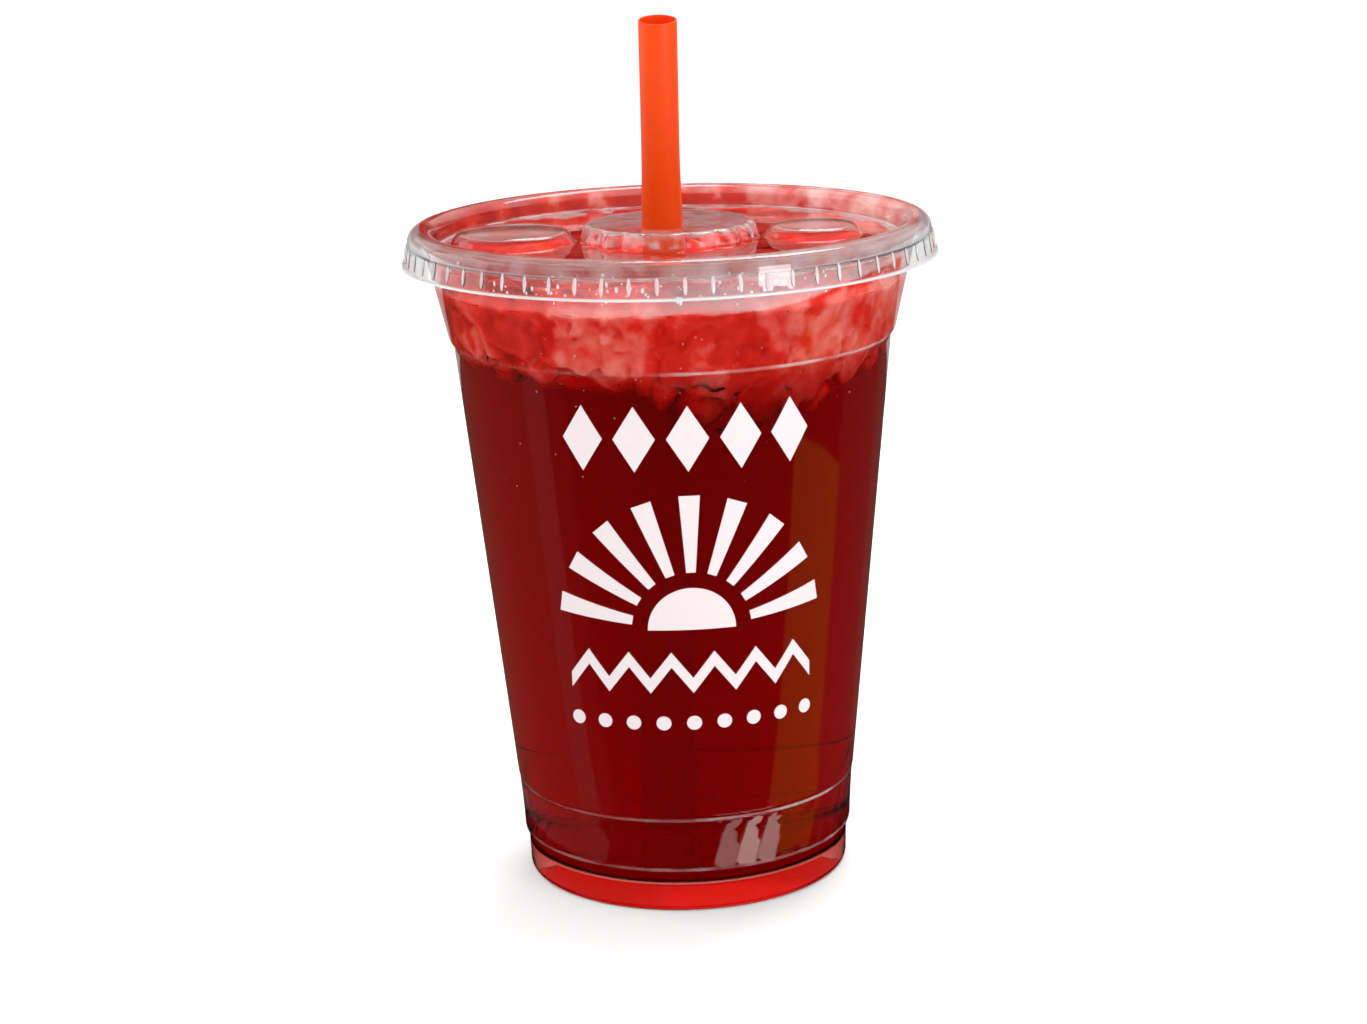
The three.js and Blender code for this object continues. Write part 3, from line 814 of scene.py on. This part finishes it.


# Wet slush, with painted light: paler towards the right and the front, where the light falls, and redder and darker on
# the left.
def makeWetSlush(values):
    material, tree = newMaterial("wetSlushFilm")
    place = addNode(tree, "ShaderNodeTexCoord").outputs["Object"]
    split = addNode(tree, "ShaderNodeSeparateXYZ", {}, {0: place})
    grains = addNode(tree, "ShaderNodeTexNoise", {"Scale": 1 / (values["size"] * mm), "Detail": 3.0}, {"Vector": place})
    # Painted light: this term and the next make the film paler towards the right and the front, where the light falls.
    side = addNode(tree, "ShaderNodeMapRange", {1: -values["side"] * mm, 2: values["side"] * mm, 3: -0.2, 4: 0.25},
                   {0: split.outputs["X"]})
    front = addNode(tree, "ShaderNodeMapRange", {1: 20 * mm, 2: -40 * mm, 3: 0.0, 4: 0.16}, {0: split.outputs["Y"]})
    depth = addNode(tree, "ShaderNodeMath", {"operation": "ADD"}, {0: grains.outputs["Fac"], 1: side.outputs[0]})
    depth = addNode(tree, "ShaderNodeMath", {"operation": "ADD"}, {0: depth.outputs[0], 1: front.outputs[0]})
    tint = addNode(tree, "ShaderNodeValToRGB", {}, {"Fac": depth.outputs[0]})
    ramp = tint.color_ramp.elements
    ramp.new(0.5)
    for element, (share, colour) in zip(ramp, values["tints"]):
        element.position = share
        element.color = linearColour(colour)
    shader = addNode(tree, "ShaderNodeBsdfPrincipled",
                     {"Roughness": 0.25, "IOR": 1.33, "Specular IOR Level": 0.2},
                     {"Base Color": tint.outputs["Color"]})
    finishMaterial(tree, shader.outputs["BSDF"])
    return material


# Print: a generic sunburst between lozenges, a zigzag and dots, in sizes on the unrolled wall, in mm.
# Lift and sink are how far the ink stands proud of the wall and reaches into it.
printValues = {
    "angle": 3.0, "lift": 0.04, "sink": 0.08, "slice": 1.5, "reach": 27.0,
    "lozenges": {"count": 5, "step": 9.8, "height": 94.4, "size": (3.9, 6.2)},
    "sun": {"height": 57.6, "core": 8.2, "rays": 9, "inner": 11.2, "outer": 26.0, "width": 3.9, "taper": 0.45},
    "zigzag": {"height": 45.0, "rise": 5.2, "thick": 3.0, "step": 4.0, "count": 12},
    "dots": {"count": 9, "step": 5.7, "height": 39.0, "radius": 1.4},
}


def drawPrint(bm, values):
    place = values["lozenges"]
    for i in range(place["count"]):
        made = bmesh.ops.create_circle(bm, cap_ends=True, segments=4, radius=1)["verts"]
        middle = (i - (place["count"] - 1) / 2) * place["step"]
        bmesh.ops.scale(bm, vec=(place["size"][0], place["size"][1], 1), verts=made)
        bmesh.ops.translate(bm, vec=(middle, place["height"], 0), verts=made)
    dots = values["dots"]
    for i in range(dots["count"]):
        made = bmesh.ops.create_circle(bm, cap_ends=True, segments=32, radius=dots["radius"])["verts"]
        middle = (i - (dots["count"] - 1) / 2) * dots["step"]
        bmesh.ops.translate(bm, vec=(middle, dots["height"], 0), verts=made)
    zigzag = values["zigzag"]
    left = -zigzag["step"] * zigzag["count"] / 2
    ends = [bm.verts.new((left, zigzag["height"] + up, 0)) for up in (0, zigzag["thick"])]
    edge = bm.edges.new(ends)
    for i in range(zigzag["count"]):
        grown = bmesh.ops.extrude_edge_only(bm, edges=[edge])["geom"]
        ends = [item for item in grown if isinstance(item, bmesh.types.BMVert)]
        edge = [item for item in grown if isinstance(item, bmesh.types.BMEdge)][0]
        rise = zigzag["rise"] if i % 2 == 0 else -zigzag["rise"]
        bmesh.ops.translate(bm, vec=(zigzag["step"], rise, 0), verts=ends)
    sun = values["sun"]
    disc = bmesh.new()
    bmesh.ops.create_circle(disc, cap_ends=True, segments=96, radius=sun["core"])
    bmesh.ops.bisect_plane(disc, geom=disc.verts[:] + disc.edges[:] + disc.faces[:], plane_co=(0, 0, 0),
                           plane_no=(0, 1, 0), clear_inner=True)
    for i in range(sun["rays"]):
        made = bmesh.ops.create_grid(disc, x_segments=1, y_segments=1, size=0.5)["verts"]
        length = sun["outer"] - sun["inner"]
        for vert in made:
            if vert.co.x < 0:
                vert.co.y *= sun["taper"]
        bmesh.ops.scale(disc, vec=(length, sun["width"], 1), verts=made)
        bmesh.ops.translate(disc, vec=((sun["inner"] + sun["outer"]) / 2, 0, 0), verts=made)
        turn = math.pi * (i + 0.5) / sun["rays"]
        bmesh.ops.rotate(disc, cent=(0, 0, 0), matrix=Matrix.Rotation(turn, 3, "Z"), verts=made)
    bmesh.ops.translate(disc, vec=(0, sun["height"], 0), verts=disc.verts[:])
    addTo(bm, disc)


# Radius of the cup's outside on its plain cone
def cupOuterRadius(height, cup):
    return cupInnerRadius(height, cup) + cup["wall"]


# Draws the print flat, gives it its thickness, slices it and wraps it round the cone
def makePrint(values, cup, material):
    bm = bmesh.new()
    drawPrint(bm, values)
    bmesh.ops.recalc_face_normals(bm, faces=bm.faces[:])
    for face in bm.faces:
        if face.normal.z < 0:
            face.normal_flip()
    bmesh.ops.solidify(bm, geom=bm.faces[:], thickness=values["lift"] + values["sink"])
    cuts = int(2 * values["reach"] / values["slice"])
    for i in range(cuts + 1):
        across = -values["reach"] + i * values["slice"]
        bmesh.ops.bisect_plane(bm, geom=bm.verts[:] + bm.edges[:] + bm.faces[:], dist=1e-6,
                               plane_co=(across, 0, 0), plane_no=(1, 0, 0))
    bmesh.ops.triangulate(bm, faces=bm.faces[:])
    for vert in bm.verts:
        radius = cupOuterRadius(vert.co.y, cup)
        angle = vert.co.x / radius + math.radians(values["angle"])
        out = radius + values["lift"] + vert.co.z
        vert.co = Vector((out * math.sin(angle), -out * math.cos(angle), vert.co.y)) * mm
    bmesh.ops.recalc_face_normals(bm, faces=bm.faces[:])
    return newPiece("whitePrint", bm, material, sharpAngle=30)


# Screen-printed ink: matt white, a little uneven where the mesh laid it on
def makePrintInk():
    material, tree = newMaterial("screenPrintedWhiteInk")
    place = addNode(tree, "ShaderNodeTexCoord").outputs["Object"]
    grain = addNode(tree, "ShaderNodeTexNoise", {"Scale": 1 / (0.6 * mm), "Detail": 2.0}, {"Vector": place})
    colour = addNode(tree, "ShaderNodeMix", {"data_type": "RGBA", 6: linearColour("#D6CBCD"),
                                             7: linearColour("#DED4D6")}, {0: grain.outputs["Fac"]})
    bump = addNode(tree, "ShaderNodeBump", {"Strength": 0.15, "Distance": 0.02 * mm}, {"Height": grain.outputs["Fac"]})
    shader = addNode(tree, "ShaderNodeBsdfPrincipled", {"Roughness": 0.5, "Specular IOR Level": 0.35},
                     {"Base Color": colour.outputs[2], "Normal": bump.outputs["Normal"]})
    finishMaterial(tree, shader.outputs["BSDF"])
    return material


# Water that has condensed on the wall above the drink, and small bubbles against the wall in the drink.
# Sizes and heights in mm, angles in degrees from the front towards the right.
specks = {
    "waterDrops": {"seed": 7, "count": 80, "angles": (-75, 60), "heights": (119.0, 125.3), "sizes": (0.1, 0.35),
                   "flat": 0.5, "run": 1.9, "inside": 0.05},
    "airBubbles": {"seed": 4, "count": 130, "angles": (-180, 180), "heights": (80, 115), "sizes": (0.07, 0.17),
                   "flat": 1.0, "run": 1.0, "inside": 0.35},
}


def makeSpecks(name, values, cup, material):
    rand = random.Random(values["seed"])
    bm = bmesh.new()
    for i in range(values["count"]):
        low, high = values["heights"]
        height = low + (high - low) * rand.random() ** 0.6
        angle = math.radians(rand.triangular(*values["angles"], -15) - 90)
        size = values["sizes"][0] + (values["sizes"][1] - values["sizes"][0]) * rand.random() ** 2
        long = size * rand.uniform(1, values["run"])
        made = bmesh.ops.create_icosphere(bm, subdivisions=2, radius=1)["verts"]
        shape = Matrix.Diagonal((size * values["flat"] * mm, size * mm, long * mm, 1))
        out = cupInnerRadius(height, cup) - values["inside"] * (1 if values["flat"] < 1 else size / 0.35)
        place = Matrix.Rotation(angle, 4, "Z") @ Matrix.Translation((out * mm, 0, height * mm))
        bmesh.ops.transform(bm, matrix=place @ shape, verts=made)
    return newPiece(name, bm, material, sharpAngle=180)


# Water and bubbles as painted highlights: the drops are mostly white, with a little clear water, so that they show as
# bright sparkles, and the bubbles, air under a skin of tea, have a pale base that shows as a bright speck.
def makeSparkleDrop(name, colour, clear, rough):
    material, tree = newMaterial(name)
    place = addNode(tree, "ShaderNodeTexCoord").outputs["Object"]
    ripple = addNode(tree, "ShaderNodeTexNoise", {"Scale": 1 / (0.8 * mm)}, {"Vector": place})
    bump = addNode(tree, "ShaderNodeBump", {"Strength": 0.1, "Distance": 0.05 * mm},
                   {"Height": ripple.outputs["Fac"]})
    shader = addNode(tree, "ShaderNodeBsdfPrincipled",
                     {"Base Color": linearColour(colour), "Roughness": rough, "IOR": 1.33,
                      "Transmission Weight": clear}, {"Normal": bump.outputs["Normal"]})
    finishMaterial(tree, shader.outputs["BSDF"])
    return material


# Floor and light: a plain pale table in a white room. What is mirrored in the plastic is a dim table with lit
# patches, and a room with soft panels in it, as a studio sets them with cards and dark cloths round a glass.
# A ring of the mirrored table is its outer radius in mm, and stops of angle from the front towards the right,
# brightness and colour. Its angles are round a centre of their own, so that the strips' edges run straight.
stageValues = {
    "floorSize": 8, "floorColour": "#F8F8F8", "room": (1.0, 1.0, 1.0, 1), "roomStrength": 1.0,
    "light": (0.3, 1.45), "seenThrough": 0.92, "insideRoom": 3.0, "insideTable": 2.6,
    "glow": {"centre": (8, -22), "near": 8.0, "far": 22.0, "edge": 33.0, "bright": (0.92, 0.012, 0.007, 1),
             "dim": (0.68, 0.009, 0.005, 1)},
    "mirroredFront": [(0.0, 0.6, "#FFF0EC"), (0.12, 0.55, "#FFE8E0"), (0.16, 0.5, "#FFD8D0"), (0.25, 0.85, "#FFE0D8"),
                      (1.0, 0.95, "#FFECE6")],
    "mirroredBehind": [(0.0, 0.7, "#FFF0E8"), (0.06, 0.5, "#FFC8B8"), (0.10, 0.12, "#FF2818"),
                       (0.20, 0.12, "#FF2818"), (0.25, 0.6, "#E0B898"), (0.3, 0.75, "#F4D8CC"),
                       (0.7, 0.95, "#FFF0EC"), (1.0, 0.95, "#FFF8F4")],
    "mirroredWithin": (0.5, "#FF8070"),
    "ringCentre": (0, -31), "mirroredRings": [
        (40, [(-90, 0.05, "#FF2010"), (-80, 0.02, "#FF2010")]),
        (50, [(-90, 0.12, "#FF9088"), (-83, 0.015, "#FFE8E8"), (256, 0.12, "#FF9088")]),
        (60.3, [(-90, 0.15, "#FFD8DC"), (-77, 0.015, "#FFE8E8"), (30, 1.2, "#FFF0E8"), (51, 0.2, "#FFF0E8"),
              (54, 2.6, "#FFF0E8"), (67, 0.3, "#FFF0E8"), (69, 1.8, "#FFF0E8"), (79, 0.03, "#FFF0E8"),
              (82, 0.30, "#E8B850"), (102, 0.05, "#FFE0E0"), (200, 0.12, "#FFD8DC")]),
        (77, [(-90, 0.15, "#FFD0CC"), (-77, 0.05, "#FFD0CC"), (-64, 0.015, "#FFE8E8"), (-53, 0.3, "#FF1008"),
              (-42, 0.015, "#FFE8E8"), (71, 0.32, "#E8B050"), (106, 0.05, "#FFE0E0"), (200, 0.12, "#E8B8A0")]),
        (230, [(-90, 0.15, "#FFD0CC"), (-77, 0.05, "#FFD0CC"), (-64, 0.015, "#FFE8E8"), (71, 0.32, "#E8B050"),
               (105, 0.05, "#FFE0E0"), (140, 0.09, "#E8D0C0"), (200, 0.12, "#E8B8A0")]),
        (300, [(-90, 0.15, "#FFD0CC"), (-77, 0.05, "#FFD0CC"), (-64, 0.015, "#FFE8E8"), (104, 0.05, "#FFE0E0"),
               (140, 0.09, "#E8D0C0"), (200, 0.12, "#E8B8A0")]),
        (430, [(-90, 0.15, "#FFD0CC"), (-77, 0.5, "#FFFFFF"), (104, 0.05, "#FFE0E0"), (140, 0.09, "#E8D0C0"),
               (200, 0.12, "#E8B8A0")]),
        (4000, [(-90, 0.5, "#FFFFFF")]),
    ],
}


# Where light has been, from how often it was mirrored, let through and scattered: 1 if it passes all the tests
def lightShare(tree, *tests):
    path = addNode(tree, "ShaderNodeLightPath")
    share = None
    for output, operation, limit in tests:
        test = addNode(tree, "ShaderNodeMath", {"operation": operation, 1: limit}, {0: path.outputs[output]})
        if share is not None:
            test = addNode(tree, "ShaderNodeMath", {"operation": "MULTIPLY"}, {0: share, 1: test.outputs[0]})
        share = test.outputs[0]
    return share


# Mirrored by the near faces of the plastic
def mirroredShare(tree):
    return lightShare(tree, ("Glossy Depth", "GREATER_THAN", 0.5), ("Transmission Depth", "LESS_THAN", 4.5),
                      ("Diffuse Depth", "LESS_THAN", 0.5))


# Scattered by what is inside the cup. The panels' light can't be traced through plastic, so the room is brighter
# there in its place.
def insideShare(tree):
    return lightShare(tree, ("Diffuse Depth", "GREATER_THAN", 0.5), ("Transmission Depth", "GREATER_THAN", 1.5))


# What each ring of the table shows when it is mirrored
def mirroredTable(tree, values, place, far):
    across, along = values["ringCentre"]
    fromCentre = addNode(tree, "ShaderNodeVectorMath", {"operation": "SUBTRACT", 1: (across * mm, along * mm, 0)},
                         {0: place})
    turn = addNode(tree, "ShaderNodeTexGradient", {"gradient_type": "RADIAL"}, {"Vector": fromCentre.outputs[0]})
    shown = None
    inner = 0
    for outer, stops in values["mirroredRings"]:
        steps = addNode(tree, "ShaderNodeValToRGB", {}, {"Fac": turn.outputs["Fac"]})
        ramp = steps.color_ramp
        ramp.interpolation = "CONSTANT"
        while len(ramp.elements) < len(stops):
            ramp.elements.new(0.99)
        while len(ramp.elements) > len(stops):
            ramp.elements.remove(ramp.elements[-1])
        for element, (angle, bright, colour) in zip(ramp.elements, stops):
            element.position = 0.25 + angle / 360
            element.color = [channel * bright for channel in linearColour(colour)[:3]] + [1]
        if shown is None:
            shown = steps.outputs["Color"]
        else:
            past = addNode(tree, "ShaderNodeMath", {"operation": "GREATER_THAN", 1: inner * mm}, {0: far})
            mixed = addNode(tree, "ShaderNodeMix", {"data_type": "RGBA"},
                            {0: past.outputs[0], 6: shown, 7: steps.outputs["Color"]})
            shown = mixed.outputs[2]
        inner = outer
    return addNode(tree, "ShaderNodeEmission", {}, {"Color": shown})


# Light that has crossed the tea paints the table under the raised base red, brightest at the right front
def redGlow(tree, glow, place):
    spot = addNode(tree, "ShaderNodeVectorMath",
                   {"operation": "DISTANCE", 1: (glow["centre"][0] * mm, glow["centre"][1] * mm, 0)}, {0: place})
    fade = addNode(tree, "ShaderNodeMapRange",
                   {"interpolation_type": "SMOOTHSTEP", 1: glow["near"] * mm, 2: glow["far"] * mm},
                   {0: spot.outputs["Value"]})
    colour = addNode(tree, "ShaderNodeMix", {"data_type": "RGBA", 6: glow["bright"], 7: glow["dim"]},
                     {0: fade.outputs[0]})
    return addNode(tree, "ShaderNodeEmission", {}, {"Color": colour.outputs[2]})


def makeFloor(values):
    material, tree = newMaterial("paleTable")
    place = addNode(tree, "ShaderNodeTexCoord").outputs["Object"]
    far = addNode(tree, "ShaderNodeVectorMath", {"operation": "LENGTH"}, {0: place}).outputs["Value"]
    pale = addNode(tree, "ShaderNodeBsdfDiffuse", {"Color": linearColour(values["floorColour"])})
    behind = addNode(tree, "ShaderNodeEmission", {"Strength": values["seenThrough"]})
    inside = addNode(tree, "ShaderNodeEmission", {"Strength": values["insideTable"]})
    mirrored = mirroredTable(tree, values, place, far)
    through = lightShare(tree, ("Transmission Depth", "GREATER_THAN", 1.5))
    mixed = pale
    for share, shown in ((through, behind), (insideShare(tree), inside), (mirroredShare(tree), mirrored)):
        mixed = addNode(tree, "ShaderNodeMixShader", {}, {0: share, 1: mixed.outputs[0], 2: shown.outputs[0]})
    under = addNode(tree, "ShaderNodeMath", {"operation": "LESS_THAN", 1: values["glow"]["edge"] * mm}, {0: far})
    crossed = lightShare(tree, ("Transmission Depth", "GREATER_THAN", 0.5))
    under = addNode(tree, "ShaderNodeMath", {"operation": "MULTIPLY"}, {0: under.outputs[0], 1: crossed})
    glow = redGlow(tree, values["glow"], place)
    lit = addNode(tree, "ShaderNodeMixShader", {}, {0: under.outputs[0], 1: mixed.outputs[0], 2: glow.outputs[0]})
    finishMaterial(tree, lit.outputs[0])
    bm = bmesh.new()
    bmesh.ops.create_grid(bm, x_segments=1, y_segments=1, size=values["floorSize"] / 2)
    mesh = bpy.data.meshes.new("floor")
    bm.to_mesh(mesh)
    bm.free()
    floor = bpy.data.objects.new("floor", mesh)
    mesh.materials.append(material)
    bpy.context.scene.collection.objects.link(floor)


def brightnessByHeight(tree, height, stops):
    steps = addNode(tree, "ShaderNodeValToRGB", {}, {"Fac": height})
    ramp = steps.color_ramp.elements
    for place, bright, colour in stops[1:-1]:
        ramp.new(place)
    for element, (place, bright, colour) in zip(ramp, stops):
        element.position = place
        element.color = [channel * bright for channel in linearColour(colour)[:3]] + [1]
    return steps.outputs["Color"]


# What is mirrored of the room in front and behind is set by how high it is: the sine of its height, its brightness
# and its colour
def makeRoom(values):
    room = bpy.data.worlds.new("room")
    room.use_nodes = True
    tree = room.node_tree
    tree.nodes.clear()
    place = addNode(tree, "ShaderNodeTexCoord")
    split = addNode(tree, "ShaderNodeSeparateXYZ", {}, {0: place.outputs["Generated"]})
    front = brightnessByHeight(tree, split.outputs["Z"], values["mirroredFront"])
    behind = brightnessByHeight(tree, split.outputs["Z"], values["mirroredBehind"])
    back = addNode(tree, "ShaderNodeMapRange", {1: -0.1, 2: 0.3}, {0: split.outputs["Y"]})
    round = addNode(tree, "ShaderNodeMix", {"data_type": "RGBA"}, {0: back.outputs[0], 6: front, 7: behind})
    bright = addNode(tree, "ShaderNodeBackground", {"Color": values["room"], "Strength": values["roomStrength"]})
    low, high = values["light"]
    fall = addNode(tree, "ShaderNodeMapRange", {3: low, 4: high}, {0: split.outputs["Z"]})
    light = addNode(tree, "ShaderNodeBackground", {"Color": values["room"]}, {"Strength": fall.outputs[0]})
    inside = addNode(tree, "ShaderNodeBackground", {"Color": values["room"], "Strength": values["insideRoom"]})
    mirrored = addNode(tree, "ShaderNodeBackground", {"Strength": 1.0}, {"Color": round.outputs[2]})
    scattered = lightShare(tree, ("Diffuse Depth", "GREATER_THAN", 0.5))
    mixed = bright
    bright, colour = values["mirroredWithin"]
    within = addNode(tree, "ShaderNodeBackground", {"Color": linearColour(colour), "Strength": bright})
    between = lightShare(tree, ("Glossy Depth", "GREATER_THAN", 0.5), ("Transmission Depth", "GREATER_THAN", 1.5),
                         ("Transmission Depth", "LESS_THAN", 8.5), ("Diffuse Depth", "LESS_THAN", 0.5))
    for share, shown in ((scattered, light), (insideShare(tree), inside), (mirroredShare(tree), mirrored),
                         (between, within)):
        mixed = addNode(tree, "ShaderNodeMixShader", {}, {0: share, 1: mixed.outputs[0], 2: shown.outputs[0]})
    addNode(tree, "ShaderNodeOutputWorld", {}, {"Surface": mixed.outputs[0]})
    bpy.context.scene.world = room


# Light panels: place and aim in mm, size in mm, power in watts, colour, and whether the plastic mirrors them
panels = {
    "overhead": {"place": (150, 350, 800), "aim": (0, 0, 120), "size": (500, 300), "power": 4,
                 "colour": "#FFFFFF", "mirrored": True},
    "left": {"place": (-650, 150, 200), "aim": (0, 0, 80), "size": (500, 700), "power": 2,
             "colour": "#FFF4F6", "mirrored": True},
    "window": {"place": (430, -460, 150), "aim": (0, 0, 110), "size": (150, 170), "power": 1.1,
               "colour": "#FFFFFF", "mirrored": True},
    "front": {"place": (-150, -900, 500), "aim": (0, 0, 110), "size": (500, 400), "power": 1.2,
              "colour": "#FFFFFF", "mirrored": False},
}


def makePanel(name, values):
    light = bpy.data.lights.new(name, "AREA")
    light.shape = "RECTANGLE"
    light.size = values["size"][0] * mm
    light.size_y = values["size"][1] * mm
    light.energy = values["power"]
    light.color = linearColour(values["colour"])[:3]
    lamp = bpy.data.objects.new(name, light)
    place = Vector(values["place"]) * mm
    way = Vector(values["aim"]) * mm - place
    lamp.matrix_world = Matrix.Translation(place) @ way.to_track_quat("-Z", "Y").to_matrix().to_4x4()
    lamp.visible_transmission = False
    lamp.visible_camera = False
    lamp.visible_glossy = values["mirrored"]
    bpy.context.scene.collection.objects.link(lamp)


makeFloor(stageValues)
makeRoom(stageValues)
for name, values in panels.items():
    makePanel(name, values)
print("stage and light set")

cup = makeCup(cupValues, makeClearPet("clearCupPet", petLook["cup"]))
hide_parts("cup")
ice = makeIce(iceValues, cupValues, strawValues, makeCloudyIce(iceLook))
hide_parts("ice")
drink = makeDrink(drinkValues, cupValues, makeIcePocket(iceValues, ice), makeRedTea())
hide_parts("drink")
straw = makeStraw(strawValues, drinkValues["level"], makeStrawPlastic("extrudedOrangePolypropylene", strawLook["dry"]),
                  makeStrawPlastic("submergedOrangePolypropyleneLitPaler", strawLook["wet"]))
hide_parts("straw")
makePrint(printValues, cupValues, makePrintInk())
makeFilm(filmValues, makeWetSlush(filmLook))
makeSpecks("waterDrops", specks["waterDrops"], cupValues, makeSparkleDrop("condensedWaterSparkle", "#FFFFFF", 0.1, 0.05))
# Painted highlight: the bubbles' pale base stands for the glint of light on them.
makeSpecks("airBubbles", specks["airBubbles"], cupValues, makeSparkleDrop("airBubble", "#FFE0D8", 0.3, 0.2))
lid = makeLid(lidValues, strawValues, makeClearPet("clearLidPet", petLook["lid"]))
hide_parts("lid")

bpy.context.view_layer.update()
